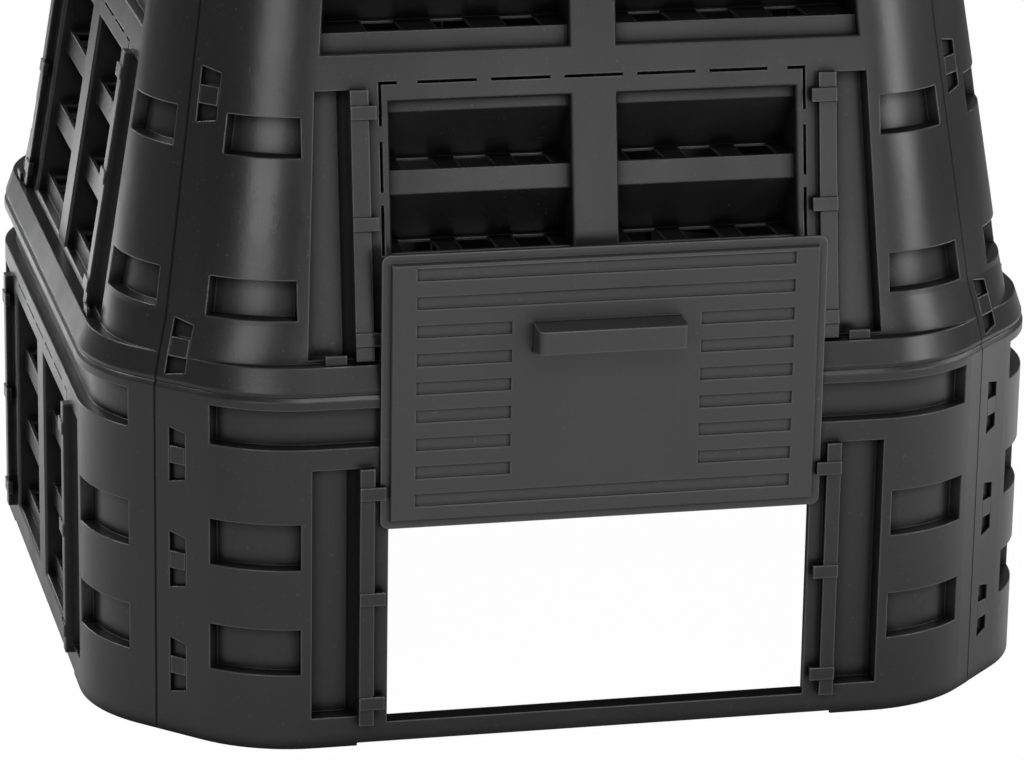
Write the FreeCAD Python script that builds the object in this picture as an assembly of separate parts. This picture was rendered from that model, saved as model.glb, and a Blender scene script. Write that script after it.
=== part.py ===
import FreeCAD, Part
import math
import os

os.makedirs("parts", exist_ok=True)

# The bin stands on the ground and its door side faces -Y. The origin is the middle of
# the whole footprint, grip and hooks included. Sizes are in millimetres.

# Lower ring of four upright panels
ring_half = 460.0             # middle axis to the flat face of a panel
ring_corner = 393.0           # middle axis to the seam corner, along X or Y
ring_bend = 140.0             # radius of the bend between flat and corner face
ring_height = 340.0
wall = 4.0                    # moulded wall of every panel
shell = 3.0                   # thinner wall of ribs, troughs and pockets
foot_lift = 2.7               # underside of the flat face above the ground
foot_half = 228.0

# Upper ring of four leaning panels
body_height = 720.0
shoulder_rise = 26.0          # sloping shoulder that stands on the lower ring
shoulder_draw = 9.5           # how far the shoulder comes in at its top
corner_draw = 5.3
tier_groove = 2.5             # depth of the groove that shows where the tiers meet
tier_groove_rise = 4.0
ledge_depth = 12.8            # flat ledge above the shoulder
blend_rise = 34.0             # height over which the corner takes up its lean
blend_draw = 8.1
lean = 0.162                  # inward run of the flat face for each mm of rise
corner_lean = 0.1366          # the same, along X or Y, at the seam corner
body_bend_top = 70.0
rim_depth = 12.0              # flange turned inward along the top edge
rim_thick = 4.0

# Seams where two panels hook into each other
seam_offset = 15.0            # seam line, measured from the middle of the corner face
seam_gap = 0.2
lap_gap = 0.3                 # air between the lap flange and the wall in front of it
lap_reach = 24.0
lap_root = 27.0
tab_gap = 0.4
tab_height = 17.0
window_slope = 4.0            # the window's edges draw together across its width
ring_windows = ((41.0, 94.0), (144.0, 198.0), (247.0, 299.0))
ring_window_sides = (1.0, 19.0)
body_windows = ((348.0, 398.0), (575.0, 625.0), (800.0, 851.0))
body_window_sides = (-5.0, 16.5)

# Pressed-in pockets of the wings
pocket_depth = 12.0
pocket_ledge = 1.0            # rise of the ledge at the pocket's bottom
ring_pocket_end = 46.0        # clear of the middle of the corner face
body_pocket_end = 28.0
pocket_start = 281.0          # inner end on the flat face
body_pocket_start = 284.0     # the same on the leaning panel, at the ring's level
body_pocket_narrow = 0.051
ring_pocket_foot = 73.0
ring_pocket_rise = 44.0
ring_pocket_pitch = 102.0
ring_pocket_count = 2
long_pocket_foot = 291.0
long_pocket_rise = 37.0
body_pocket_foot = 405.0
body_pocket_rise = 36.0
body_pocket_pitch = 145.7
body_pocket_count = 4

# Upright troughs beside the door and the lattice
trough_inner = 228.0
trough_outer = 271.0
trough_outer_top = 259.0      # the trough of the leaning panel narrows to this
trough_bevel_inner = 8.0
trough_bevel_outer = 1.5
trough_depth = 18.0
ring_trough_foot = 29.5
body_trough_foot = 369.0
trough_rise = 241.0

# Door guides on the panels
guide_inner = 214.0
guide_outer = 228.0
guide_height = 8.0
guide_rise = 250.0
body_guide_inner = 211.0
body_guide_foot = 366.5
body_guide_rise = 244.0
hook_inner = 204.0
hook_thick = 4.0              # behind the front of the guide bar
hook_proud = 1.5              # in front of it
hook_rise = 12.5
ring_hooks = (38.0, 140.0, 242.0)
body_hooks = (380.0, 484.0, 584.0)

# Air lattice made of folded slats
slat_pitch = 75.4
slat_strip = 22.0             # upright strip of each slat
slat_inset = 10.0
slat_depth = 57.0
slat_sheet = 3.0
lattice_inner = 22.0          # half of the middle post
lattice_outer = 191.0
lattice_rise = 229.0
lattice_bevel = 2.0
strip_drop = 4.0              # the lowest strip starts below the opening's edge
ring_lattice_foot = 30.0
body_lattice_foot = 369.0
top_lattice_foot = 643.0
top_lattice_rise = 302.0
lattice_slats = 3
top_lattice_slats = 4
top_lattice_outer = 252.0
top_lattice_narrow = 0.075    # how fast the upper lattice narrows
vent_width = 31.5
vent_pitch = 53.7
top_vent_pitch = 65.0
vent_start = 14.0
vent_end = 52.0
vents_per_slat = 3

# Dashed cut line round a lattice that may be cut out for a door
slit = 2.5
slit_length = 55.0
slit_pitch = 68.3
slit_count = 5
side_slit_length = 46.0
side_slit_pitch = 58.0
side_slit_start = 52.0        # top of the first upright dash below the level row
side_slit_count = 3
slit_corner_across = 17.0
slit_corner_drop = 40.0
slit_line = 199.0
slit_rise = 245.0             # the level dashes above the lattice's foot

# Door opening of the front panel
door_opening = 200.0
door_sill = 22.0
door_head = 275.0
jamb_depth = 8.0
sill_depth = 20.0
sill_lip = 16.0

# Spigot and tongues that lock the upper ring on the lower one
spigot_top = 357.0
tongue_top = 375.0
tongue_inner = 237.0
tongue_width = 20.0
tongue_gap = 1.0

# Sliding door, drawn half raised as in the photo
door_half = 208.5
door_height = 260.0
door_raise = 190.0            # above its closed place
door_corner = 8.0
door_gap = 0.5                # air behind the flange and under the hooks
door_flange = 3.0
plate_margin = 7.0
plate_draft = 2.0
plate_height = 8.5
plate_shell = 3.0
groove_rows = 9
groove_pitch = 26.8
groove_height = 11.5
groove_depth = 2.5
groove_outer = 177.0
groove_inner = 89.0
groove_drop = 12.0            # first groove below the door's top edge
long_rows = (0, 1, 8)
grip_half = 70.0
grip_top = 193.0              # above the door's lower edge
grip_rise = 29.0
grip_reach = 30.0
grip_taper = 6.0
grip_bend = 6.0

# Lid
lid_gap = 6.3                 # air between the lid's skirt and the wall inside it
lid_wall = 4.0
lid_skirt_drop = 15.0         # below the rim of the upper ring
lid_skirt_rise = 8.0          # above the rim
lid_rise = 64.0               # crown above the rim
lid_crown = 120.0             # half width of the flat crown
lid_crown_raise = 6.0
lid_seat = 0.3                # air between the lid's seat rib and the rim
lid_rib = 3.0
lid_rib_drop = 9.0
lid_seat_inset = 5.0
lid_grip_half = 65.0
lid_grip_reach = 26.0
lid_grip_thick = 4.0

# Lid hinge
hinge_reach = 26.8            # axis behind the rim of the upper ring
hinge_side = 155.0            # middle of each hinge
pin_radius = 4.0
pin_fit = 0.04
pin_head = 7.0
pin_head_thick = 2.0
pin_tip = 2.0
knuckle_radius = 8.5
knuckle_width = 12.0
lug_width = 8.0
lug_gap = 1.0
lug_drop = 45.0
lug_clear = 2.0

ROOT2 = math.sqrt(2.0)
EIGHTH = math.radians(22.5)
X_AXIS = FreeCAD.Vector(1, 0, 0)
Z_AXIS = FreeCAD.Vector(0, 0, 1)
ORIGIN = FreeCAD.Vector(0, 0, 0)
FAR = 700.0
EMBED = 1.0                   # how far an added rib is sunk into the wall it grows from

body_top = ring_height + body_height
shoulder_top = ring_height + shoulder_rise
ledge_half = ring_half - shoulder_draw - ledge_depth
ledge_corner = ring_corner - corner_draw
blend_top = shoulder_top + blend_rise


def outline(half, corner, bend, z):
    """Closed wire of eight flat sides joined by eight bends."""
    edge = 2 * corner - half
    run = bend * math.tan(EIGHTH)
    flat = edge - run
    bow = bend * math.sin(EIGHTH)
    rise = bend * (1 - math.cos(EIGHTH))
    leg = run / ROOT2
    quarter = [
        (-flat, -half),
        (flat, -half),
        (flat + bow, -half + rise),
        (edge + leg, -half + leg),
        (half - leg, -edge - leg),
        (half - rise, -flat - bow),
        (half, -flat),
    ]
    edges = []
    for turn in range(4):
        c = round(math.cos(turn * math.pi / 2))
        s = round(math.sin(turn * math.pi / 2))
        p = [FreeCAD.Vector(c * x - s * y, s * x + c * y, z) for x, y in quarter]
        edges.append(Part.makeLine(p[0], p[1]))
        edges.append(Part.Arc(p[1], p[2], p[3]).toShape())
        edges.append(Part.makeLine(p[3], p[4]))
        edges.append(Part.Arc(p[4], p[5], p[6]).toShape())
    return Part.Wire(edges)


def inset_outline(half, corner, bend, inset, z):
    return outline(half - inset, corner - inset / ROOT2, bend - inset, z)


def ring_outline(inset, z):
    return inset_outline(ring_half, ring_corner, ring_bend, inset, z)


def shoulder_share(z):
    return (z - ring_height) / shoulder_rise


def body_half(z):
    return ledge_half - lean * (z - shoulder_top)


def body_corner(z):
    if z < shoulder_top:
        return ring_corner - corner_draw * shoulder_share(z)
    if z < blend_top:
        return ledge_corner - blend_draw * (z - shoulder_top) / blend_rise
    return ledge_corner - blend_draw - corner_lean * (z - blend_top)


def body_bend(z):
    return ring_bend + (body_bend_top - ring_bend) * (z - ring_height) / body_height


def body_outline(inset, z):
    return inset_outline(body_half(z), body_corner(z), body_bend(z), inset, z)


def shoulder_outline(inset, z):
    half = ring_half - shoulder_draw * shoulder_share(z)
    return inset_outline(half, body_corner(z), body_bend(z), inset, z)


def loft(wires):
    return Part.makeLoft(wires, True, True)


def ring_form(inset, low=0.0, high=ring_height):
    """The closed form of the lower ring, drawn in by an inset."""
    return loft([ring_outline(inset, low), ring_outline(inset, high)])


def body_form(inset, low=ring_height, high=body_top):
    """The closed form of the upper ring: shoulder, ledge and leaning wall."""
    step = shoulder_top - inset
    shoulder = loft([shoulder_outline(inset, low), shoulder_outline(inset, step)])
    levels = [shoulder_top, blend_top, high]
    if inset > 0:
        levels.insert(0, step)
    return shoulder.fuse(loft([body_outline(inset, z) for z in levels]))


def prism(points, low, high):
    wire = Part.makePolygon([FreeCAD.Vector(x, y, low) for x, y in points + points[:1]])
    return Part.Face(wire).extrude(FreeCAD.Vector(0, 0, high - low))


def box(x0, x1, y0, y1, z0, z1):
    return Part.makeBox(x1 - x0, y1 - y0, z1 - z0, FreeCAD.Vector(x0, y0, z0))


def both(shape):
    """The shape and its mirror image on the panel's other half."""
    return [shape, shape.mirror(ORIGIN, X_AXIS)]


def between(left, right, low, high):
    """Space of the front panel between two cuts, each measured along a corner face."""
    x = (left + right) / ROOT2
    y = (right - left) / ROOT2
    return prism([(x, y), (x + FAR, y - FAR), (x - FAR, y - FAR)], low, high)


def wing(start, end, low, high):
    """Space of the left wing, from a cut in the flat face to one in the corner face."""
    y = -start - end * ROOT2
    return prism([(-start, y), (-start, y - FAR), (-start - FAR, y - FAR)], low, high)


def corner_slab(side, cut_0, cut_1, low, high):
    """Upright slab square to a corner face. Side -1 is the left corner, 1 the right."""
    near = FAR / 2
    points = []
    for cut, out in ((cut_0, near), (cut_1, near), (cut_1, FAR), (cut_0, FAR)):
        points.append(((side * out + cut) / ROOT2, (-out + side * cut) / ROOT2))
    return prism(points, low, high)


def corner_window(sides, foot, top):
    """Four-sided hole through the left corner face."""
    points = []
    for cut, z in (
        (sides[0], foot),
        (sides[1], foot + window_slope),
        (sides[1], top - window_slope),
        (sides[0], top),
    ):
        points.append(FreeCAD.Vector((cut - FAR / 2) / ROOT2, (-cut - FAR / 2) / ROOT2, z))
    face = Part.Face(Part.makePolygon(points + points[:1]))
    return face.extrude(FreeCAD.Vector(-FAR / 2, -FAR / 2, 0))


class Flat:
    """The flat face of a tier. Depth runs inward, height runs up the face."""

    def __init__(self, slope, half, base):
        self.angle = math.atan(slope)
        self.half = half
        self.base = base

    def up(self, z):
        return (z - self.base) / math.cos(self.angle)

    def level(self, depth):
        """Height to add at a depth, so that a slat's floor lies level."""
        return (depth - slat_inset) * math.tan(self.angle)

    def place(self, shape):
        placed = shape.copy()
        placed.rotate(ORIGIN, X_AXIS, -math.degrees(self.angle))
        placed.translate(FreeCAD.Vector(0, -self.half, self.base))
        return placed

    def plate(self, corners, depth):
        """Closed wire of across and height points at one depth."""
        return Part.makePolygon([FreeCAD.Vector(x, depth, v) for x, v in corners + corners[:1]])


upright = Flat(0.0, ring_half, 0.0)
leaning = Flat(lean, ledge_half, shoulder_top)


def trough(flat, foot, outer_top, grow):
    """Right-hand trough: the space in it, or the space grown by its shell."""
    wires = []
    front = EMBED if grow else -5.0
    back = trough_depth + grow
    slope_in = trough_bevel_inner / trough_depth
    slope_out = trough_bevel_outer / trough_depth
    for z, outer, push in ((foot, trough_outer, -grow), (foot + trough_rise, outer_top, grow)):
        v = flat.up(z) + push
        points = [
            (trough_inner - grow + slope_in * front, front),
            (trough_inner - grow + slope_in * back, back),
            (outer + grow - slope_out * back, back),
            (outer + grow - slope_out * front, front),
        ]
        wires.append(Part.makePolygon([FreeCAD.Vector(x, d, v) for x, d in points + points[:1]]))
    return flat.place(loft(wires))


def folded_slats(flat, low, high, periods):
    """Depth and height points of the sheet that is folded into strips, floors and slopes."""
    front = []
    back = []
    strip_back = slat_inset + slat_sheet
    inner = slat_depth - slat_sheet
    for period in range(periods):
        bottom = low - strip_drop + period * slat_pitch
        top = bottom + slat_strip
        under = top - slat_sheet
        front += [(slat_inset, bottom), (slat_inset, top), (inner, top + flat.level(inner))]
        back += [(strip_back, bottom), (strip_back, under + flat.level(strip_back))]
        back += [(slat_depth, v + flat.level(slat_depth)) for v in (under, top)]
    last = low - strip_drop + periods * slat_pitch
    front += [(slat_inset, last), (slat_inset, high + EMBED)]
    back += [(strip_back, last), (strip_back, high + EMBED)]
    return front + back[::-1]


def lattice(flat, foot, rise, outer_foot, outer_top, periods, pitch):
    """Right-hand lattice field: the opening to cut, and the slats in their frame."""
    low = flat.up(foot)
    high = flat.up(foot + rise)

    def corners(grow):
        return [
            (lattice_inner - grow, low - grow),
            (outer_foot + grow, low - grow),
            (outer_top + grow, high + grow),
            (lattice_inner - grow, high + grow),
        ]

    def field(grow, depth_0, depth_1):
        return loft([flat.plate(corners(grow), depth_0), flat.plate(corners(grow), depth_1)])

    rim = loft([flat.plate(corners(lattice_bevel), -0.01), flat.plate(corners(0.0), lattice_bevel)])
    opening = field(0.0, -EMBED, wall + EMBED).fuse(rim)

    points = folded_slats(flat, low, high, periods)
    across = max(outer_foot, outer_top) + EMBED - lattice_inner
    wire = Part.makePolygon([FreeCAD.Vector(lattice_inner - EMBED, d, v) for d, v in points + points[:1]])
    slats = Part.Face(wire).extrude(FreeCAD.Vector(across + EMBED, 0, 0))
    vents = []
    middle = (lattice_inner + min(outer_foot, outer_top)) / 2
    for period in range(periods):
        top = low - strip_drop + period * slat_pitch + slat_strip
        points = [(d, top + flat.level(d) - 2 * slat_sheet) for d in (vent_start, vent_end)]
        points += [(d, top + flat.level(d) + EMBED) for d in (vent_end, vent_start)]
        for n in range(vents_per_slat):
            x0 = middle + (n - (vents_per_slat - 1) / 2) * pitch - vent_width / 2
            wire = Part.makePolygon([FreeCAD.Vector(x0, d, v) for d, v in points + points[:1]])
            vents.append(Part.Face(wire).extrude(FreeCAD.Vector(vent_width, 0, 0)))
    slats = slats.cut(Part.Compound(vents)).common(field(EMBED, 0.0, slat_depth + EMBED))

    frame = field(slat_sheet, wall - EMBED, slat_depth).cut(field(0.0, 0.0, slat_depth + EMBED))
    strip_back = slat_inset + slat_sheet
    for v0, v1 in ((low - 2 * slat_sheet, low), (high - strip_back, high + 2 * slat_sheet)):
        frame = frame.cut(box(0, FAR, strip_back, FAR, v0, v1))
    return flat.place(opening), flat.place(frame.fuse(slats))


def slits(flat, foot):
    """Dashes of the cut line: a level row, an upright row each side, corners between."""
    dashes = []
    level = flat.up(foot + slit_rise)
    depth = wall + shell
    outer = slit_line + slit / 2
    inner = outer - slit_corner_across
    top = level + slit
    end = top - slit_corner_drop
    corner = [(inner, top), (outer, top), (outer, end)]
    corner += [(outer - slit, end), (outer - slit, level), (inner, level)]
    dashes += both(Part.Face(flat.plate(corner, -depth)).extrude(FreeCAD.Vector(0, 2 * depth, 0)))
    for n in range(slit_count):
        x0 = (n - (slit_count - 1) / 2) * slit_pitch - slit_length / 2
        dashes.append(box(x0, x0 + slit_length, -depth, depth, level, top))
    for n in range(side_slit_count):
        v1 = level - side_slit_start - n * side_slit_pitch
        dashes += both(box(outer - slit, outer, -depth, depth, v1 - side_slit_length, v1))
    return [flat.place(dash) for dash in dashes]


def guides(flat, inner, foot, rise, hooks):
    """Upright bars and the hooks that hold the door's flange to the face."""
    pieces = both(box(inner, guide_outer, -guide_height, EMBED, flat.up(foot), flat.up(foot + rise)))
    for z in hooks:
        v = flat.up(z)
        front = -guide_height - hook_proud
        back = -guide_height + hook_thick
        pieces += both(box(hook_inner, guide_outer, front, back, v, v + hook_rise))
    return [flat.place(piece) for piece in pieces]


def pocket(section, envelope, foot, rise, space):
    """Pressed-in pocket: the block it is pressed into, and the void in front of its floor."""
    top = foot + rise
    floor = [section(0.0, foot), section(pocket_depth, foot + pocket_ledge)]
    floor.append(section(pocket_depth, top + EMBED))
    behind = pocket_depth + shell
    back = [section(behind, foot - shell - EMBED), section(behind, top + shell + EMBED)]
    block = space(shell, foot - shell, top + shell).common(envelope).cut(loft(back))
    void = space(0.0, foot, top).cut(loft(floor))
    return block, void


def lap(form, low, high, windows, sides):
    """Lap flange of the right wing, with the tabs that fill the next panel's windows."""
    front = wall + lap_gap
    behind = form(front + shell)
    flange = corner_slab(1, -lap_root, lap_reach, low, high).common(form(front)).cut(behind)
    root = corner_slab(1, -lap_root, -seam_offset - seam_gap / 2, low, high)
    root = root.common(form(wall - EMBED)).cut(behind)
    outer = form(0.0)
    inner = form(front + EMBED)
    tabs = []
    for foot, top in windows:
        middle = (foot + top) / 2
        half = tab_height / 2
        slab = corner_slab(1, sides[0] + tab_gap, sides[1] - tab_gap, middle - half, middle + half)
        tabs.append(slab.common(outer).cut(inner))
    return [flange, root] + tabs


def joined(shape, blocks, voids, added):
    """One moulding: blocks fused on, voids cut out, the rest added after the cutting."""
    shape = shape.multiFuse(blocks)
    shape = shape.cut(Part.Compound(voids))
    shape = shape.multiFuse(added).removeSplitter()
    print("solids", len(shape.Solids), "valid", shape.isValid(), "faces", len(shape.Faces))
    return shape.Solids[0]


def tier_edge(section, inner):
    """Space cut off a tier's outer edge, so that a groove shows where the tiers meet."""
    levels = sorted((ring_height, inner))
    outside = loft([section(-EMBED, z) for z in levels])
    return outside.cut(loft([section(tier_groove if z == ring_height else 0.0, z) for z in levels]))


def seam_space(low, high):
    return between(-seam_offset + seam_gap / 2, -seam_offset - seam_gap / 2, low, high)


# Lower ring panel: one moulding, upright wall with wings bent round the corners


def ring_panel(cut_out):
    envelope = ring_form(0.0)
    panel = envelope.common(seam_space(-1.0, ring_height + 1.0))
    panel = panel.cut(ring_form(wall, -1.0, ring_height + 1.0))
    blocks = []
    voids = []

    def wing_space(grow, low, high):
        return wing(pocket_start - grow, ring_pocket_end - grow, low, high)

    def face_space(grow, low, high):
        return between(ring_pocket_end - grow, grow - ring_pocket_end, low, high)

    for n in range(ring_pocket_count):
        foot = ring_pocket_foot + n * ring_pocket_pitch
        block, void = pocket(ring_outline, envelope, foot, ring_pocket_rise, wing_space)
        blocks += both(block)
        voids += both(void)
    block, void = pocket(ring_outline, envelope, long_pocket_foot, long_pocket_rise, face_space)
    blocks.append(block)
    voids.append(void)

    # The long pocket's back wall runs on upward as the spigot of the upper ring
    top = long_pocket_foot + long_pocket_rise
    spigot = ring_form(pocket_depth, top, spigot_top)
    spigot = spigot.cut(ring_form(pocket_depth + shell, top - 1.0, spigot_top + 1.0))
    blocks.append(spigot.common(face_space(0.0, top, spigot_top)))
    rear = -ring_half + pocket_depth
    blocks += both(box(tongue_inner, tongue_inner + tongue_width, rear, rear + shell, top, tongue_top))

    blocks += both(trough(upright, ring_trough_foot, trough_outer, shell))
    voids += both(trough(upright, ring_trough_foot, trough_outer, 0.0))
    voids.append(box(-foot_half, foot_half, -ring_half - 1.0, -ring_half + sill_depth, -1.0, foot_lift))
    voids.append(tier_edge(ring_outline, ring_height - tier_groove_rise))
    for foot, high in ring_windows:
        voids.append(corner_window(ring_window_sides, foot, high))

    added = guides(upright, guide_inner, door_sill, guide_rise, ring_hooks)
    added += lap(ring_form, foot_lift, ring_height - foot_lift, ring_windows, ring_window_sides)
    if cut_out:
        front = -ring_half + EMBED
        side = door_opening + shell
        depth = -ring_half + jamb_depth
        added += both(box(door_opening, side, front, depth, door_sill - shell, door_head + shell))
        added.append(box(-side, side, front, depth, door_head, door_head + shell))
        back = -ring_half + sill_depth
        added.append(box(-side, side, front, back, door_sill - shell, door_sill))
        added.append(box(-side, side, back - shell, back, door_sill - sill_lip, door_sill))
        voids.append(box(-door_opening, door_opening, -ring_half - 1.0, back, door_sill, door_head))
    else:
        opening, slats = lattice(
            upright, ring_lattice_foot, lattice_rise, lattice_outer, lattice_outer, lattice_slats, vent_pitch
        )
        voids += both(opening)
        added += both(slats)
        voids += slits(upright, ring_lattice_foot)
    return joined(panel, blocks, voids, added)


# Upper ring panel: one moulding that leans inward above a shoulder and a ledge


def body_panel():
    envelope = body_form(0.0)
    panel = envelope.common(seam_space(ring_height - 1.0, body_top + 1.0))
    panel = panel.cut(body_form(wall, ring_height - 1.0, body_top + 1.0))
    blocks = []
    voids = []
    for n in range(body_pocket_count):
        foot = body_pocket_foot + n * body_pocket_pitch
        middle = foot + body_pocket_rise / 2
        start = body_pocket_start - body_pocket_narrow * (middle - ring_height)

        def wing_space(grow, low, high, start=start):
            return wing(start - grow, body_pocket_end - grow, low, high)

        block, void = pocket(body_outline, envelope, foot, body_pocket_rise, wing_space)
        blocks += both(block)
        voids += both(void)
    rim = loft([body_outline(wall - EMBED, body_top - rim_thick), body_outline(wall - EMBED, body_top)])
    under = [body_outline(rim_depth, body_top - rim_thick - 1.0), body_outline(rim_depth, body_top + 1.0)]
    blocks.append(rim.cut(loft(under)).common(seam_space(ring_height, body_top)))

    blocks += both(trough(leaning, body_trough_foot, trough_outer_top, shell))
    voids += both(trough(leaning, body_trough_foot, trough_outer_top, 0.0))
    voids.append(tier_edge(shoulder_outline, ring_height + tier_groove_rise))
    for foot, high in body_windows:
        voids.append(corner_window(body_window_sides, foot, high))
    rear = -ring_half + pocket_depth
    slot = box(
        tongue_inner - tongue_gap,
        tongue_inner + tongue_width + tongue_gap,
        rear - tongue_gap,
        rear + shell + tongue_gap,
        shoulder_top - wall - EMBED,
        shoulder_top + EMBED,
    )
    voids += both(slot)

    added = guides(leaning, body_guide_inner, body_guide_foot, body_guide_rise, body_hooks)
    low = ring_height + wall
    added += lap(body_form, low, body_top - rim_thick - tab_gap, body_windows, body_window_sides)
    narrow = top_lattice_narrow * top_lattice_rise
    for foot, rise, outer_foot, outer_top, count, pitch in (
        (body_lattice_foot, lattice_rise, lattice_outer, lattice_outer, lattice_slats, vent_pitch),
        (top_lattice_foot, top_lattice_rise, top_lattice_outer, top_lattice_outer - narrow,
         top_lattice_slats, top_vent_pitch),
    ):
        opening, slats = lattice(leaning, foot, rise, outer_foot, outer_top, count, pitch)
        voids += both(opening)
        added += both(slats)
    voids += slits(leaning, body_lattice_foot)
    return joined(panel, blocks, voids, added)


hinge_y = body_half(body_top) + hinge_reach
lid_level = body_top - lid_skirt_drop
lid_half = body_half(lid_level) + lid_gap + lid_wall
lug_inside = knuckle_width / 2 + lug_gap
lug_outside = lug_inside + lug_width


def barrel(x0, x1, radius):
    """Round bar along the hinge line."""
    start = FreeCAD.Vector(x0, hinge_y, body_top)
    return Part.makeCylinder(radius, x1 - x0, start, X_AXIS)


def lugs():
    """Pairs of arms on the rear panel that carry the hinge pins."""
    low = body_top - lug_drop
    under = lid_level - lug_clear
    near = hinge_y - knuckle_radius
    far = hinge_y + knuckle_radius
    points = [
        (body_half(low) - wall + EMBED, low),
        (far, under),
        (far, body_top),
        (near, body_top),
        (near, under),
        (body_half(under) - wall + EMBED, under),
    ]
    arms = []
    for side in (-1, 1):
        for x0 in (lug_inside, -lug_outside):
            x = side * hinge_side + x0
            wire = Part.makePolygon([FreeCAD.Vector(x, y, z) for y, z in points + points[:1]])
            arm = Part.Face(wire).extrude(FreeCAD.Vector(lug_width, 0, 0))
            arm = arm.fuse(barrel(x, x + lug_width, knuckle_radius))
            arms.append(arm.cut(barrel(x - 1.0, x + lug_width + 1.0, pin_radius + pin_fit)))
    return arms


# Sliding door: a shallow tray with a flat flange, pressed grooves and a hollow grip


def upright_plate(half, low, high, y):
    points = [(-half, low), (half, low), (half, high), (-half, high), (-half, low)]
    return Part.makePolygon([FreeCAD.Vector(x, y, z) for x, z in points])


def door():
    low = door_sill + door_raise
    high = low + door_height
    back = -ring_half - door_gap
    front = back - plate_height
    flange = box(-door_half, door_half, back - door_flange, back, low, high)
    corners = [e for e in flange.Edges if abs(e.Vertexes[0].Y - e.Vertexes[-1].Y) > 1]
    flange = flange.makeFillet(door_corner, corners)

    def tray(grow, y0, y1):
        half = door_half - plate_margin + grow
        reach = half - plate_draft
        inner_low = low + plate_margin - grow
        inner_high = high - plate_margin + grow
        foot = upright_plate(half, inner_low, inner_high, y0)
        top = upright_plate(reach, inner_low + plate_draft, inner_high - plate_draft, y1)
        return loft([foot, top])

    solid = flange.fuse(tray(0.0, back - EMBED, front))
    hollow = tray(-plate_shell, back + EMBED, front + plate_shell)
    solid = solid.cut(hollow)
    dents = []
    bumps = []
    for row in range(groove_rows):
        top = high - groove_drop - row * groove_pitch
        foot = top - groove_height
        spans = [(-groove_outer, groove_outer)]
        if row not in long_rows:
            spans = [(-groove_outer, -groove_inner), (groove_inner, groove_outer)]
        for x0, x1 in spans:
            dents.append(box(x0, x1, front - 1.0, front + groove_depth, foot, top))
            rear = front + groove_depth + plate_shell
            edge = plate_shell
            bumps.append(box(x0 - edge, x1 + edge, front + 1.0, rear, foot - edge, top + edge))
    solid = solid.multiFuse(bumps).cut(Part.Compound(dents))

    def grip_body(shrink, base):
        top = low + grip_top - shrink
        reach = front - grip_reach + shrink
        foot = top - grip_rise + 2 * shrink
        points = [(base, top), (reach, top - grip_taper / 4), (reach, foot + grip_taper), (base, foot)]
        half = grip_half - shrink
        wire = Part.makePolygon([FreeCAD.Vector(-half, y, z) for y, z in points + points[:1]])
        return Part.Face(wire).extrude(FreeCAD.Vector(2 * half, 0, 0))

    grip = grip_body(0.0, front + EMBED)
    outer = [e for e in grip.Edges if abs(e.CenterOfMass.y - front + grip_reach) < 1]
    ends = [e for e in outer if abs(e.CenterOfMass.x) > 1]
    solid = solid.fuse(grip.makeFillet(grip_bend, ends))
    solid = solid.cut(grip_body(plate_shell, front + plate_shell + EMBED))
    return solid.removeSplitter()


# Lid: a low hollow crown on a skirt that hangs outside the upper ring's rim


def lid_outline(inset, z):
    return inset_outline(body_half(lid_level), body_corner(lid_level), body_bend(lid_level), inset, z)


def crown_outline(inset, z):
    share = lid_crown / body_half(lid_level)
    corner = body_corner(lid_level) * share
    return inset_outline(lid_crown, corner, body_bend(lid_level) * share, inset, z)


def lid_form(inset, low, eave, crown):
    skirt = loft([lid_outline(inset, low), lid_outline(inset, eave)])
    share = inset + lid_gap + lid_wall
    return skirt.fuse(loft([lid_outline(inset, eave), crown_outline(share, crown)]))


def lid():
    eave = body_top + lid_skirt_rise
    crown = body_top + lid_rise
    outside = lid_form(-lid_gap - lid_wall, lid_level, eave, crown)
    inside = lid_form(-lid_gap, lid_level - 1.0, eave - lid_wall, crown - lid_wall)
    cap = []
    for inset, drop in ((0.0, 0.0), (lid_wall, lid_wall)):
        foot = crown_outline(lid_crown_raise + inset, crown - drop - 1.0)
        top = crown_outline(2 * lid_crown_raise + inset, crown + lid_crown_raise - drop)
        cap.append(loft([foot, top]))
    solid = outside.fuse(cap[0]).cut(inside).cut(cap[1])

    rim = [lid_seat_inset, lid_seat_inset + lid_rib]
    seat = loft([lid_outline(rim[0], body_top + lid_seat), lid_outline(rim[0], crown)])
    seat = seat.cut(loft([lid_outline(rim[1], body_top), lid_outline(rim[1], crown + 1.0)]))
    ribs = [seat.common(outside)]
    reach = body_half(body_top)
    for x, y in ((lid_rib / 2, reach), (reach, lid_rib / 2)):
        rib = box(-x, x, -y, y, body_top + lid_seat, crown).common(outside)
        ribs.append(rib.cut(inside.translated(FreeCAD.Vector(0, 0, -lid_rib_drop))))

    front = -lid_half
    reach = front - lid_grip_reach
    grip = box(-lid_grip_half, lid_grip_half, reach, front + EMBED, lid_level, lid_level + lid_grip_thick)
    rising = [e for e in grip.Edges if abs(e.Vertexes[0].Z - e.Vertexes[-1].Z) > 1]
    edges = [e for e in rising if e.CenterOfMass.y < front]
    ribs.append(grip.makeFillet(lid_grip_reach / 2, edges))

    for side in (-1, 1):
        x0 = side * hinge_side - knuckle_width / 2
        x1 = x0 + knuckle_width
        arm = box(x0, x1, lid_half - EMBED, hinge_y, body_top - knuckle_radius, eave)
        ribs.append(arm.fuse(barrel(x0, x1, knuckle_radius)))
    solid = solid.multiFuse(ribs)
    bore = barrel(-FAR / 2, FAR / 2, pin_radius + pin_fit)
    return solid.cut(bore).removeSplitter()


# Hinge pins: round bars with a flat head, pushed through the lugs and the lid's knuckle


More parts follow.
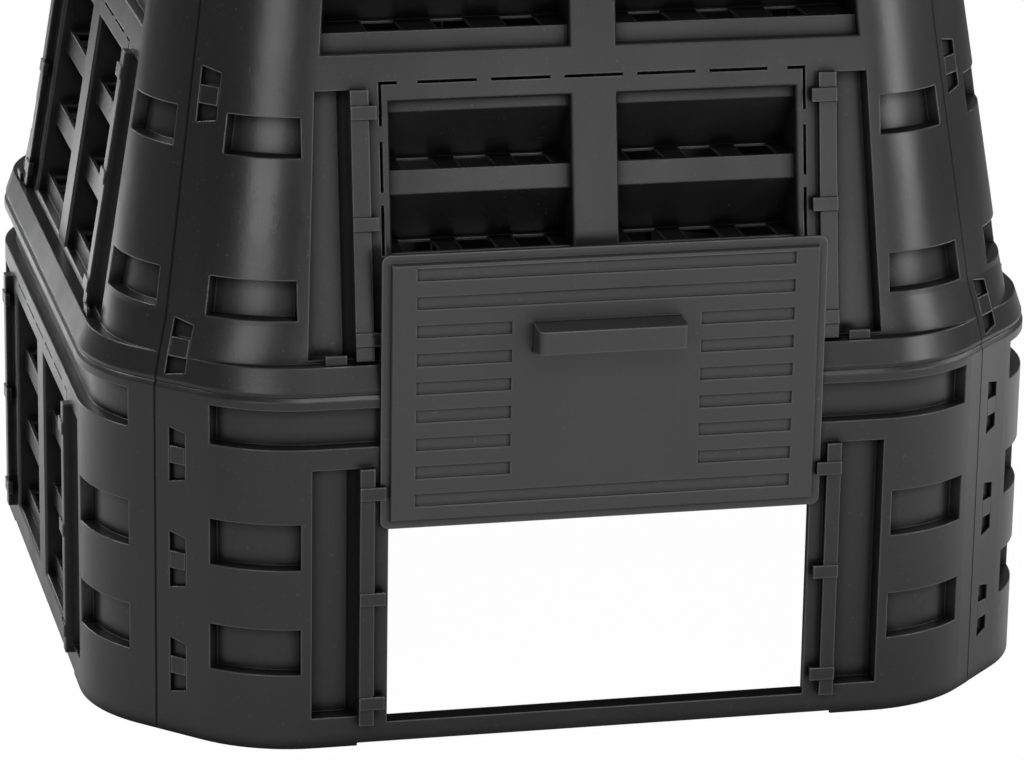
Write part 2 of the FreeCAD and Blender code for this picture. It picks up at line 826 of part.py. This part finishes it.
def hinge_pin(side):
    middle = hinge_side
    shaft = barrel(middle - lug_outside - pin_tip, middle + lug_outside, pin_radius)
    ends = [e for e in shaft.Edges if e.Closed and e.CenterOfMass.x < middle]
    shaft = shaft.makeChamfer(pin_tip / 2, ends)
    head = barrel(middle + lug_outside, middle + lug_outside + pin_head_thick, pin_head)
    pin = shaft.fuse(head)
    return pin if side > 0 else pin.mirror(ORIGIN, X_AXIS)


# The panels are drawn round the bin's own upright axis, which lies behind the origin
# by half of what the door and its grip stand out further than the rear hooks

front_reach = door_gap + plate_height + grip_reach
axis_behind = (front_reach - guide_height - hook_proud) / 2


def save(shape, name):
    placed = shape.translated(FreeCAD.Vector(0, axis_behind, 0))
    print(name, placed.isValid(), len(placed.Solids), round(placed.Volume / 1000), "cm3")
    placed.exportStep("parts/" + name + ".step")


def turned(shape, quarters):
    copy = shape.copy()
    copy.rotate(ORIGIN, Z_AXIS, 90 * quarters)
    return copy


ring_plain = ring_panel(False)
body_plain = body_panel()
save(ring_panel(True), "ring_panel_front")
save(body_plain, "body_panel_front")
for quarters, place in ((1, "right"), (2, "back"), (3, "left")):
    save(turned(ring_plain, quarters), "ring_panel_" + place)
    panel = turned(body_plain, quarters)
    if place == "back":
        panel = panel.multiFuse(lugs())
    save(panel.Solids[0], "body_panel_" + place)
save(door(), "door")
save(lid(), "lid")
save(hinge_pin(1), "lid_hinge_pin_right")
save(hinge_pin(-1), "lid_hinge_pin_left")
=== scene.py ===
import math

import bmesh
import bpy
from mathutils import Matrix, Vector
from mathutils.bvhtree import BVHTree
from mathutils.interpolate import poly_3d_calc


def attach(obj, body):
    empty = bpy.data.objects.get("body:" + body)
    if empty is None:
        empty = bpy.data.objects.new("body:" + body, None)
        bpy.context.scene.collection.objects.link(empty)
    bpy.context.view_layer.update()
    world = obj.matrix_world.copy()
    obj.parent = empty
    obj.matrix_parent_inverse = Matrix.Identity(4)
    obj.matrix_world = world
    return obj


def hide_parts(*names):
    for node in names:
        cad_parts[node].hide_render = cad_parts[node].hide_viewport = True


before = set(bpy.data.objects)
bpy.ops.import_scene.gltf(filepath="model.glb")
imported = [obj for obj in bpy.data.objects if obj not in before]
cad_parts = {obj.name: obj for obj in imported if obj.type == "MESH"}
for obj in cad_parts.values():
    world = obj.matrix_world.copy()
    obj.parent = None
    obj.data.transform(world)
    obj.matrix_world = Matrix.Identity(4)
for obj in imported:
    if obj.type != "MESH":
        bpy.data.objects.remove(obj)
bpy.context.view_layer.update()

# Lower ring: four upright panels of black recycled polypropylene, injection moulded in
# one shot each. They hook into each other at the corners and stand on the ground. The
# panel at the front has its lattice cut out for the door.

axis_behind = 0.01475            # the bin's upright axis behind the origin
seam_offset = 0.015              # the corner seam, from the middle of its corner face
seam_within = 0.0003             # how near to a seam an edge lies that belongs to it
seam_dirt = (0.0007, 0.002)      # the dirt on a seam ends between these distances from it
edge_round = 0.002               # rounding that every edge shows in the light
pale_edge_depth = 0.002                # an edge with less plastic than this behind it gets the pale line of wear and painted highlight
pale_edge_most = 0.42                  # how far the pale colour of wear and painted highlight covers an edge
dust_most = 0.3                  # how far dust covers the skin under a speck


def linear(colour):
    """An sRGB hex colour as linear light."""
    parts = [int(colour[n:n + 2], 16) / 255 for n in (1, 3, 5)]
    return [c / 12.92 if c <= 0.04045 else ((c + 0.055) / 1.055) ** 2.4 for c in parts] + [1.0]


def per_metre(millimetres):
    """How often a pattern of this size comes in a metre, which is its texture's scale."""
    return 1000 / millimetres


def node(tree, kind, links=(), **settings):
    """One node with its settings and links. A link's source is (node, output)."""
    made = tree.nodes.new(kind)
    for name, value in settings.items():
        setattr(made, name, value)
    for socket, value in links:
        target = made.inputs[socket]
        if isinstance(value, tuple) and isinstance(value[0], bpy.types.Node):
            tree.links.new(value[0].outputs[value[1]], target)
        else:
            target.default_value = value
    return made


def near_seam(tree, place):
    """A node that gives 1 on the four corner seams and 0 a little way beside them."""
    diagonal = node(
        tree,
        "ShaderNodeMapping",
        [
            ("Vector", (place, "Object")),
            ("Location", (0.0, axis_behind, 0.0)),
            ("Rotation", (0.0, 0.0, math.radians(45))),
        ],
        vector_type="TEXTURE",
    )
    along = node(tree, "ShaderNodeSeparateXYZ", [("Vector", (diagonal, "Vector"))])
    beside = []
    for near, far, shift in (("Y", "X", seam_offset), ("X", "Y", -seam_offset)):
        end = node(tree, "ShaderNodeMath", [(0, (along, far))], operation="SIGN")
        gap = node(
            tree,
            "ShaderNodeMath",
            [(0, (end, "Value")), (1, shift), (2, (along, near))],
            operation="MULTIPLY_ADD",
        )
        beside.append(node(tree, "ShaderNodeMath", [(0, (gap, "Value"))], operation="ABSOLUTE"))
    nearest = node(
        tree,
        "ShaderNodeMath",
        [(0, (beside[0], "Value")), (1, (beside[1], "Value"))],
        operation="MINIMUM",
    )
    full, none = seam_dirt
    return node(
        tree,
        "ShaderNodeMapRange",
        [
            ("Value", (nearest, "Value")),
            ("From Min", none),
            ("From Max", full),
            ("To Min", 0.0),
            ("To Max", 1.0),
        ],
    )


def polypropylene(name, colours, gloss, peel, shade_reach, seamed=False):
    """Moulded black polypropylene, from its colours: skin, cloudy skin and a pale grey.

    The polished tool leaves a satin skin. The melt's flow shows as clouds of slightly
    higher gloss, a fine orange peel softens every highlight, and sharp edges get a paler,
    smoother line, partly rub wear and partly a painted highlight. Painted shade darkens the
    inner corners and dulls their shine, as far from them as the shade reach says, and dirt
    fills the seams. Yard dust lies on the skin in small specks of the same pale grey.
    """
    material = bpy.data.materials.new(name)
    material.use_nodes = True
    tree = material.node_tree
    tree.nodes.clear()
    place = node(tree, "ShaderNodeTexCoord")
    skin, cloudy, dust_wear_and_highlight_grey = [linear(colour) for colour in colours]

    # Flow clouds some 67 mm across, drawn out upward as the melt ran
    drawn = node(
        tree,
        "ShaderNodeMapping",
        [("Vector", (place, "Object")), ("Scale", (1.0, 1.0, 0.3))],
    )
    flow = node(
        tree,
        "ShaderNodeTexNoise",
        [("Vector", (drawn, "Vector")), ("Scale", per_metre(66.67)), ("Detail", 4.0)],
    )
    # Orange peel of about 2 mm, and the coarser waves of a wall that shrank as it cooled
    peel_grain = node(
        tree,
        "ShaderNodeTexNoise",
        [("Vector", (place, "Object")), ("Scale", per_metre(2.222)), ("Detail", 2.0)],
    )
    waves = node(
        tree,
        "ShaderNodeTexNoise",
        [("Vector", (place, "Object")), ("Scale", per_metre(111)), ("Detail", 1.0)],
    )
    # Dust specks of up to about 4 mm
    specks = node(
        tree,
        "ShaderNodeTexNoise",
        [
            ("Vector", (place, "Object")),
            ("Scale", per_metre(4.167)),
            ("Detail", 5.0),
            ("Roughness", 0.7),
        ],
    )
    dust = node(
        tree,
        "ShaderNodeMapRange",
        [
            ("Value", (specks, "Fac")),
            ("From Min", 0.62),
            ("From Max", 0.8),
            ("To Min", 0.0),
            ("To Max", dust_most),
        ],
    )

    # Rounded edges, and along them, where little plastic lies behind the surface, a paler and
    # smoother line: partly rub wear, partly a painted highlight
    rounding = node(tree, "ShaderNodeBevel", [("Radius", edge_round)], samples=6)
    behind = node(
        tree,
        "ShaderNodeAmbientOcclusion",
        [("Distance", pale_edge_depth)],
        samples=6,
        inside=True,
        only_local=True,
    )
    pale_edge_line = node(
        tree,
        "ShaderNodeMapRange",
        [
            ("Value", (behind, "AO")),
            ("From Min", 0.85),
            ("From Max", 0.55),
            ("To Min", 0.0),
            ("To Max", pale_edge_most),
        ],
    )
    # worn is the pale edge line: partly rub wear, partly a painted highlight
    worn = (pale_edge_line, "Result")
    # Painted shade where a surface sees little of the room around it
    around = node(tree, "ShaderNodeAmbientOcclusion", [("Distance", shade_reach)], samples=6)
    painted_shade = node(
        tree,
        "ShaderNodeMapRange",
        [
            ("Value", (around, "AO")),
            ("From Min", 0.93),
            ("From Max", 0.45),
            ("To Min", 0.0),
            ("To Max", 1.0),
        ],
    )
    shade_and_seam_dirt = (painted_shade, "Result")
    # On a seam no pale edge line of wear and painted highlight is laid, and dirt fills it nearly whole
    if seamed:
        seam = (near_seam(tree, place), "Result")
        untouched = node(tree, "ShaderNodeMath", [(0, 1.0), (1, seam)], operation="SUBTRACT")
        away = node(
            tree,
            "ShaderNodeMath",
            [(0, worn), (1, (untouched, "Value"))],
            operation="MULTIPLY",
        )
        worn = (away, "Value")
        filled = node(tree, "ShaderNodeMath", [(0, seam), (1, 0.9)], operation="MULTIPLY")
        shade_with_seam_dirt = node(
            tree,
            "ShaderNodeMath",
            [(0, shade_and_seam_dirt), (1, (filled, "Value"))],
            operation="MAXIMUM",
        )
        shade_and_seam_dirt = (shade_with_seam_dirt, "Value")
    # Dust, and the pale edge line of wear and painted highlight
    highlight_wear_and_dust = node(
        tree,
        "ShaderNodeMath",
        [(0, worn), (1, (dust, "Result"))],
        operation="MAXIMUM",
    )

    # The colour: clouds, then the pale edges of wear and painted highlight and the dusty places, then
    # painted shade and seam dirt over them
    clouds = node(
        tree,
        "ShaderNodeMix",
        [("Factor", (flow, "Fac")), ("A", skin), ("B", cloudy)],
        data_type="RGBA",
    )
    tint = node(
        tree,
        "ShaderNodeMix",
        [("Factor", (highlight_wear_and_dust, "Value")), ("A", (clouds, "Result")), ("B", dust_wear_and_highlight_grey)],
        data_type="RGBA",
    )
    # Painted shade: the colour darkens towards #0b0b0b in the inner corners, and seam dirt does the
    # same on the seams
    shaded_and_dirtied = node(
        tree,
        "ShaderNodeMix",
        [("Factor", shade_and_seam_dirt), ("A", (tint, "Result")), ("B", linear("#0b0b0b"))],
        data_type="RGBA",
    )
    # Where shade is painted, the shine is turned down too, as painted shade on the reflections
    shine = node(
        tree,
        "ShaderNodeMapRange",
        [
            ("Value", shade_and_seam_dirt),
            ("From Min", 0.0),
            ("From Max", 1.0),
            ("To Min", 0.5),
            ("To Max", 0.06),
        ],
    )
    # The gloss follows the clouds. Dust makes the skin rougher and rubbing smoother.
    sheen = node(
        tree,
        "ShaderNodeMapRange",
        [
            ("Value", (flow, "Fac")),
            ("From Min", 0.3),
            ("From Max", 0.7),
            ("To Min", gloss - 0.04),
            ("To Max", gloss + 0.05),
        ],
    )
    dusty = node(
        tree,
        "ShaderNodeMath",
        [(0, (dust, "Result")), (1, 0.3), (2, (sheen, "Result"))],
        operation="MULTIPLY_ADD",
    )
    rough = node(
        tree,
        "ShaderNodeMath",
        [(0, worn), (1, -0.35), (2, (dusty, "Value"))],
        operation="MULTIPLY_ADD",
    )
    wavy = node(
        tree,
        "ShaderNodeBump",
        [
            ("Strength", 0.25),
            ("Distance", 0.004),
            ("Height", (waves, "Fac")),
            ("Normal", (rounding, "Normal")),
        ],
    )
    bump = node(
        tree,
        "ShaderNodeBump",
        [
            ("Strength", peel),
            ("Distance", 0.0003),
            ("Height", (peel_grain, "Fac")),
            ("Normal", (wavy, "Normal")),
        ],
    )
    plastic = node(
        tree,
        "ShaderNodeBsdfPrincipled",
        [
            ("Base Color", (shaded_and_dirtied, "Result")),
            ("Specular IOR Level", (shine, "Result")),
            ("Roughness", (rough, "Value")),
            ("IOR", 1.49),
            ("Normal", (bump, "Normal")),
        ],
    )
    node(tree, "ShaderNodeOutputMaterial", [("Surface", (plastic, "BSDF"))])
    return material


merged_within = 2e-6             # corners of a CAD mesh nearer than this are one corner
flat_within = math.radians(0.6)  # faces that turn less than this are one face
sharp_from = math.radians(28)    # an edge that turns more than this is rounded
seam_share = 0.15                # share of the full rounding that a seam's edges get
room = 0.4                       # share of a narrow face that each of its roundings takes
inset = 5e-5                     # how far inside its face a corner's normal is looked up
inset_most = 0.3                 # and at most this share of the way to the face's middle
same_facing = 0.98               # cosine between a face and the CAD surface that it lies on


def on_seam(point):
    """Whether a point lies on one of the four upright corner seams."""
    x, y = point.x, point.y - axis_behind
    for _ in range(4):
        if x < 0 and y < 0 and abs((x - y) / math.sqrt(2) + seam_offset) < seam_within:
            return True
        x, y = y, -x
    return False


def exact_normals(mesh, source):
    """Give a rounded copy the CAD surfaces' true normals, so curved walls mirror smoothly."""
    source.calc_loop_triangles()
    triangles = source.loop_triangles
    exact = [corner.vector for corner in source.corner_normals]
    surface = BVHTree.FromPolygons([v.co for v in source.vertices], [t.vertices[:] for t in triangles])
    normals = [None] * len(mesh.loops)
    around = {}
    for face in mesh.polygons:
        for n in face.loop_indices:
            v = mesh.loops[n].vertex_index
            spot = mesh.vertices[v].co
            middle = face.center - spot
            inner = spot + middle.normalized() * min(inset, inset_most * middle.length)
            found, facing, index, _ = surface.find_nearest(inner)
            if facing.dot(face.normal) > same_facing:
                hit = triangles[index]
                shares = poly_3d_calc([source.vertices[c].co for c in hit.vertices], found)
                blended = sum((exact[c] * s for c, s in zip(hit.loops, shares)), Vector())
                normals[n] = blended.normalized()
                around.setdefault(v, []).append(normals[n])
    # A rounded edge starts with the normal of the face beside it
    for face in mesh.polygons:
        for n in face.loop_indices:
            v = mesh.loops[n].vertex_index
            if normals[n] is None:
                choices = around.get(v, [mesh.vertices[v].normal.copy()])
                normals[n] = max(choices, key=face.normal.dot)
    mesh.normals_split_custom_set(normals)


def eased(name, source, radius, material):
    """A copy of a moulding with the small round edge that a mould leaves on every corner.

    Its edges on a seam stay nearly sharp, so that a seam shows as one thin dark line.
    """
    mesh = source.data.copy()
    mesh.materials.clear()
    bm = bmesh.new()
    bm.from_mesh(mesh)
    bmesh.ops.remove_doubles(bm, verts=bm.verts, dist=merged_within)
    bmesh.ops.dissolve_limit(
        bm, angle_limit=flat_within, verts=bm.verts, edges=bm.edges, delimit={"NORMAL"}
    )
    share = bm.edges.layers.float.new("bevel_weight_edge")
    breadth = {face: 2 * face.calc_area() / face.calc_perimeter() for face in bm.faces}
    for edge in bm.edges:
        if len(edge.link_faces) == 2 and edge.calc_face_angle(0.0) > sharp_from:
            narrow = min(breadth[face] for face in edge.link_faces)
            seam = all(on_seam(v.co) for v in edge.verts)
            edge[share] = seam_share if seam else min(1.0, room * narrow / radius)
    # A short edge between two others leaves each less than half of its own length
    for edge in bm.edges:
        for other in (o for v in edge.verts for o in v.link_edges if edge[share] > 0):
            if other is not edge and other[share] > 0 and set(other.link_faces) & set(edge.link_faces):
                edge[share] = min(edge[share], room * other.calc_length() / radius)
    # Faces with more than four corners are cut into triangles before the rounding
    bmesh.ops.triangulate(bm, faces=[face for face in bm.faces if len(face.verts) > 4])
    for face in bm.faces:
        face.smooth = True
    bm.to_mesh(mesh)
    bm.free()
    piece = bpy.data.objects.new(name, mesh)
    bpy.context.collection.objects.link(piece)
    piece.data.materials.append(material)
    bevel = piece.modifiers.new("eased edges", "BEVEL")
    bevel.width = radius
    bevel.segments = 2
    bevel.limit_method = "WEIGHT"
    bevel.use_clamp_overlap = False
    depsgraph = bpy.context.evaluated_depsgraph_get()
    rounded = bpy.data.meshes.new_from_object(piece.evaluated_get(depsgraph), depsgraph=depsgraph)
    piece.modifiers.clear()
    piece.data = rounded
    exact_normals(rounded, source.data)
    return piece


panel_edge = 0.0005              # round edge of a panel
# Skin, cloudy skin, and the pale grey of dust, worn edges and painted edge highlights
panel_colours = ("#171718", "#1c1c1d", "#858586")
panel_plastic = polypropylene(
    "black polypropylene, satin moulding",
    panel_colours,
    gloss=0.31,
    peel=0.25,
    shade_reach=0.014,
    seamed=True,
)
sides = ("front", "right", "back", "left")
for side in sides:
    piece = eased("lower_panel_" + side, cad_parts["ring_panel_" + side], panel_edge, panel_plastic)
    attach(piece, "bin")
    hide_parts("ring_panel_" + side)

# Upper ring: four panels of the same plastic that lean inward above a shoulder. Each is
# one moulding too, with two fields of folded air slats, and they stand on the spigot of
# the lower ring.

for side in sides:
    piece = eased("upper_panel_" + side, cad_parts["body_panel_" + side], panel_edge, panel_plastic)
    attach(piece, "bin")
    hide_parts("body_panel_" + side)

# Ejector marks: the round prints, 9 mm across and a hair proud, that the mould's pins
# leave on the inner side of every panel. They lie in rows beside and above the lattices.

mark_spacing = 0.047
mark_radius = 0.0045
mark_proud = 0.0006
# A wall's inner side: how far it is from the bin's axis at its base, how much it leans in
# for each metre up, and how high its base is
ring_wall = (0.456, 0.0, 0.0)
body_wall = (0.4337, 0.162, 0.366)
column_side = 0.212              # a column of marks, from the middle of its panel
# The foot and top of each column, and the reach and height of each level row
columns = ((0.035, 0.255, ring_wall), (0.395, 0.585, body_wall))
level_rows = ((0.14, 0.283, ring_wall), (0.15, 0.629, body_wall), (0.15, 0.985, body_wall))


def ejector_tree():
    """Rows of round prints along the paths that are drawn on the walls."""
    tree = bpy.data.node_groups.new("ejector marks", "GeometryNodeTree")
    inputs = {}
    for label, kind in (
        ("Rows", "NodeSocketGeometry"),
        ("Spacing", "NodeSocketFloat"),
        ("Radius", "NodeSocketFloat"),
        ("Proud", "NodeSocketFloat"),
        ("Seed", "NodeSocketInt"),
        ("Plastic", "NodeSocketMaterial"),
    ):
        inputs[label] = tree.interface.new_socket(label, in_out="INPUT", socket_type=kind).identifier
    tree.interface.new_socket("Marks", in_out="OUTPUT", socket_type="NodeSocketGeometry")
    given = node(tree, "NodeGroupInput")
    rows = node(tree, "GeometryNodeMeshToCurve", [("Mesh", (given, "Rows"))])
    points = node(
        tree,
        "GeometryNodeResampleCurve",
        [("Curve", (rows, "Curve")), ("Length", (given, "Spacing"))],
        mode="LENGTH",
    )
    print_form = node(
        tree,
        "GeometryNodeMeshCylinder",
        [("Vertices", 20), ("Radius", (given, "Radius")), ("Depth", (given, "Proud"))],
    )
    inward = node(
        tree,
        "GeometryNodeInputNamedAttribute",
        [("Name", "inward")],
        data_type="FLOAT_VECTOR",
    )
    facing = node(
        tree,
        "FunctionNodeAlignRotationToVector",
        [("Vector", (inward, "Attribute"))],
        axis="Z",
    )
    worn = node(
        tree,
        "FunctionNodeRandomValue",
        [("Min", (0.8, 0.8, 0.7)), ("Max", (1.0, 1.0, 1.0)), ("Seed", (given, "Seed"))],
        data_type="FLOAT_VECTOR",
    )
    prints = node(
        tree,
        "GeometryNodeInstanceOnPoints",
        [
            ("Points", (points, "Curve")),
            ("Instance", (print_form, "Mesh")),
            ("Rotation", (facing, "Rotation")),
            ("Scale", (worn, "Value")),
        ],
    )
    real = node(tree, "GeometryNodeRealizeInstances", [("Geometry", (prints, "Instances"))])
    coated = node(
        tree,
        "GeometryNodeSetMaterial",
        [("Geometry", (real, "Geometry")), ("Material", (given, "Plastic"))],
    )
    node(tree, "NodeGroupOutput", [("Marks", (coated, "Geometry"))])
    return tree, inputs


def turned(point, turns):
    """A point or direction on the front panel, carried round the bin's axis by quarter turns."""
    x, y, z = point
    for _ in range(turns):
        x, y = -y, x
    return Vector((x, y, z))


def wall_row(start, end, half, lean, base):
    """Both ends of a row on the inner side of a front wall, and the wall's inward normal."""
    tilt = math.atan(lean)
    ends = [Vector((x, lean * (z - base) - half, z)) for x, z in (start, end)]
    return ends, Vector((0.0, math.cos(tilt), -math.sin(tilt)))


rows = []
for across in (-column_side, column_side):
    for foot, top, wall in columns:
        rows.append(wall_row((across, foot), (across, top), *wall))
for reach, height, wall in level_rows:
    rows.append(wall_row((-reach, height), (reach, height), *wall))
to_axis = Vector((0.0, axis_behind, 0.0))
points, normals = [], []
for turns in range(len(sides)):
    for ends, normal in rows:
        points += [turned(end, turns) + to_axis for end in ends]
        normals += [turned(normal, turns)] * 2
paths = bpy.data.meshes.new("ejector rows")
paths.from_pydata(points, [(n, n + 1) for n in range(0, len(points), 2)], [])
inward = paths.attributes.new("inward", "FLOAT_VECTOR", "POINT")
for n, normal in enumerate(normals):
    inward.data[n].vector = normal
marks = bpy.data.objects.new("ejector_rows", paths)
bpy.context.collection.objects.link(marks)
tree, inputs = ejector_tree()
grown = marks.modifiers.new("ejector marks", "NODES")
grown.node_group = tree
for label, value in (
    ("Spacing", mark_spacing),
    ("Radius", mark_radius),
    ("Proud", mark_proud),
    ("Seed", 7),
    ("Plastic", panel_plastic),
):
    grown[inputs[label]] = value
depsgraph = bpy.context.evaluated_depsgraph_get()
plain = bpy.data.meshes.new_from_object(marks.evaluated_get(depsgraph), depsgraph=depsgraph)
bpy.data.objects.remove(marks)
marks = bpy.data.objects.new("ejector_marks", plain)
bpy.context.collection.objects.link(marks)
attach(marks, "bin")

# Door: a shallow tray of the same plastic, somewhat more matt, with pressed grooves and a
# hollow grip. It slides up and down behind the hooks of the lower ring.

thick_edge = 0.0009              # round edge of the door and the lid
door_plastic = polypropylene(
    "black polypropylene, matt moulding",
    # Skin, cloudy skin, and the pale grey of dust, worn edges and painted edge highlights
    ("#2c2c2d", "#313132", "#8a8a8b"),
    gloss=0.38,
    peel=0.3,
    shade_reach=0.004,
)
piece = eased("sliding_door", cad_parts["door"], thick_edge, door_plastic)
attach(piece, "door")
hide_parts("door")

# Lid: a hollow crown of the same plastic on a skirt that hangs outside the rim. It turns
# on two pins in the lugs of the upper back panel.

lid_plastic = polypropylene(
    "black polypropylene, satin lid",
    panel_colours,
    gloss=0.31,
    peel=0.25,
    shade_reach=0.014,
)
piece = eased("hinged_lid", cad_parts["lid"], thick_edge, lid_plastic)
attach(piece, "lid")
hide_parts("lid")

# Hinge pins: two round bars with a flat head, of the same plastic and as matt as the
# door. Each is pushed from outside through a pair of lugs and the lid's knuckle in between.

for side in ("left", "right"):
    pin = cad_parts["lid_hinge_pin_" + side]
    pin.data.materials.clear()
    pin.data.materials.append(door_plastic)

# Studio: a white sweep that the camera sees as plain white, with soft light from above,
# from both sides and from the front, and on the floor around the bin.

own_white = 0.985                # share of its white that the floor shows whatever falls on it
sweep_reach = 12.0               # half the side of the floor
room_light = 0.15                # the white walls' light on the bin
lamps = (                        # name, place, what it aims at, width and height, and watts
    ("over", (0.0, -0.6, 3.4), (0, 0, 0.6), (2.6, 2.2), 4),
    ("front high", (0.3, -2.9, 2.7), (0, 0, 0.4), (1.6, 0.7), 25),
    ("front left", (-2.0, -3.1, 1.0), (0, 0, 0.5), (1.4, 0.9), 22),
    ("front", (1.0, -4.0, 0.6), (0, 0, 0.5), (1.6, 0.8), 12),
    ("front right", (2.6, -2.35, 0.95), (0, 0, 0.5), (0.9, 0.9), 24),
    ("floor front", (0.2, -1.5, 0.9), (0.2, -1.5, 0.0), (2.2, 1.2), 5),
    ("floor right", (1.7, -0.3, 0.9), (1.7, -0.3, 0.0), (0.8, 1.4), 16),
    ("floor left", (-1.3, 1.7, 0.9), (-1.3, 1.7, 0.0), (1.0, 1.6), 28),
    ("back left", (-2.5, 0.9, 2.7), (0, 0, 0.4), (1.4, 0.8), 50),
)


def white_sweep(name):
    """Floor that shows its own white to the camera and still takes the object's shadow."""
    material = bpy.data.materials.new(name)
    material.use_nodes = True
    tree = material.node_tree
    tree.nodes.clear()
    path = node(tree, "ShaderNodeLightPath")
    lit = node(tree, "ShaderNodeBsdfDiffuse", [("Color", (0.8, 0.8, 0.8, 1.0))])
    glow = node(tree, "ShaderNodeEmission", [("Color", (1.0, 1.0, 1.0, 1.0)), ("Strength", 1.0)])
    seen = node(
        tree,
        "ShaderNodeMath",
        [(0, (path, "Is Camera Ray")), (1, own_white)],
        operation="MULTIPLY",
    )
    both = node(
        tree,
        "ShaderNodeMixShader",
        [(0, (seen, "Value")), (1, (lit, "BSDF")), (2, (glow, "Emission"))],
    )
    node(tree, "ShaderNodeOutputMaterial", [("Surface", (both, "Shader"))])
    return material


def softbox(name, place, aim, size, power):
    """A soft rectangular lamp, turned from its place towards what it aims at."""
    lamp = bpy.data.lights.new(name, "AREA")
    lamp.shape = "RECTANGLE"
    lamp.size, lamp.size_y = size
    lamp.energy = power
    made = bpy.data.objects.new(name, lamp)
    bpy.context.collection.objects.link(made)
    made.visible_camera = False
    made.location = place
    made.rotation_mode = "QUATERNION"
    made.rotation_quaternion = (Vector(aim) - Vector(place)).to_track_quat("-Z", "Y")


sweep = bpy.data.meshes.new("sweep")
sweep_corners = [(x * sweep_reach, y * sweep_reach, 0) for x, y in ((-1, -1), (1, -1), (1, 1), (-1, 1))]
sweep.from_pydata(sweep_corners, [], [(0, 1, 2, 3)])
floor = bpy.data.objects.new("floor", sweep)
bpy.context.collection.objects.link(floor)
floor.data.materials.append(white_sweep("white paper floor"))

world = bpy.data.worlds.new("studio")
bpy.context.scene.world = world
world.use_nodes = True
tree = world.node_tree
tree.nodes.clear()
path = node(tree, "ShaderNodeLightPath")
dim = node(tree, "ShaderNodeBackground", [("Color", (1, 1, 1, 1)), ("Strength", room_light)])
bright = node(tree, "ShaderNodeBackground", [("Color", (1, 1, 1, 1)), ("Strength", 1.0)])
both = node(
    tree,
    "ShaderNodeMixShader",
    [(0, (path, "Is Camera Ray")), (1, (dim, "Background")), (2, (bright, "Background"))],
)
node(tree, "ShaderNodeOutputWorld", [("Surface", (both, "Shader"))])

for name, place, aim, size, power in lamps:
    softbox("softbox " + name, place, aim, size, power)

# Camera: a long lens above and to the left of the door, as the photo was taken. Its place
# and turn are fitted to the straight edges of the door, the door's opening and the seams.

camera_place = (-1.03255, -4.53641, 1.66695)
yaw, pitch, roll = math.radians(13.023), math.radians(17.438), math.radians(0.952)
photo_width = 1024               # pixels
focal_length = 4825.4            # in the photo's pixels
sensor_width = 36.0              # millimetres

forward = Vector((math.sin(yaw) * math.cos(pitch), math.cos(yaw) * math.cos(pitch), -math.sin(pitch)))
level = Vector((math.cos(yaw), -math.sin(yaw), 0.0))
upward = level.cross(forward)
right = level * math.cos(roll) + upward * math.sin(roll)
above = upward * math.cos(roll) - level * math.sin(roll)
lens = bpy.data.cameras.new("camera")
lens.sensor_width = sensor_width
lens.lens = sensor_width * focal_length / photo_width
camera = bpy.data.objects.new("camera", lens)
bpy.context.collection.objects.link(camera)
camera_turn = Matrix((right, above, -forward)).transposed().to_4x4()
camera.matrix_world = Matrix.Translation(camera_place) @ camera_turn
bpy.context.scene.camera = camera
bpy.context.scene.view_settings.view_transform = "Standard"
